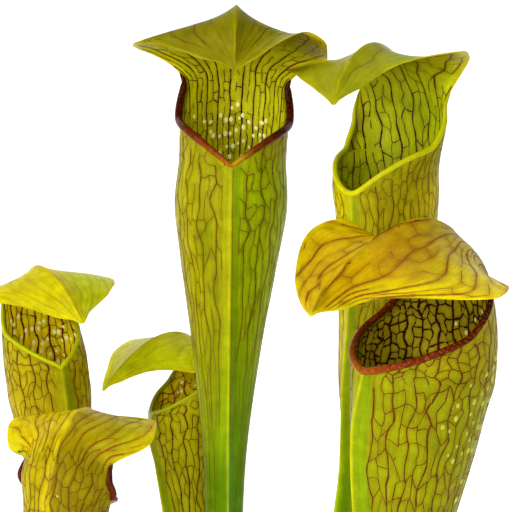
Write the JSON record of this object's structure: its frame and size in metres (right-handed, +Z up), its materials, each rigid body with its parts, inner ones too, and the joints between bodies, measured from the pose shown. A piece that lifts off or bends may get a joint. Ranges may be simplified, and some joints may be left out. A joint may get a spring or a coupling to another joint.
{
  "type": "trumpet pitcher plant",
  "caption": "Carnivorous trumpet pitcher plant lifted whole: upright hollow veined pitchers with hooded lids and rolled lips on a creeping rootstock with roots.",
  "frame": {"origin": "on the flat underside of the rootstock, below a short branch near its middle", "axes": "+Z up along the pitchers, -Y towards the viewer of the picture, +X to the viewer's right along the rootstock"},
  "size_m": [0.2357, 0.2375, 0.3782],
  "materials": {
    "leaf": "waxy, semi-gloss, translucent",
    "red_lip": "glossy",
    "rootstock": "rough, scaly"
  },
  "bodies": {
    "root": {"pitcher_tall": "leaf", "pitcher_high_right": "leaf", "pitcher_near_right": "leaf", "pitcher_left": "leaf", "pitcher_low_left": "leaf", "pitcher_behind": "leaf", "lip_tall": "red_lip", "lip_near_right": "red_lip", "lip_low_left": "red_lip", "rootstock": "rootstock"}
  },
  "joints": []
}
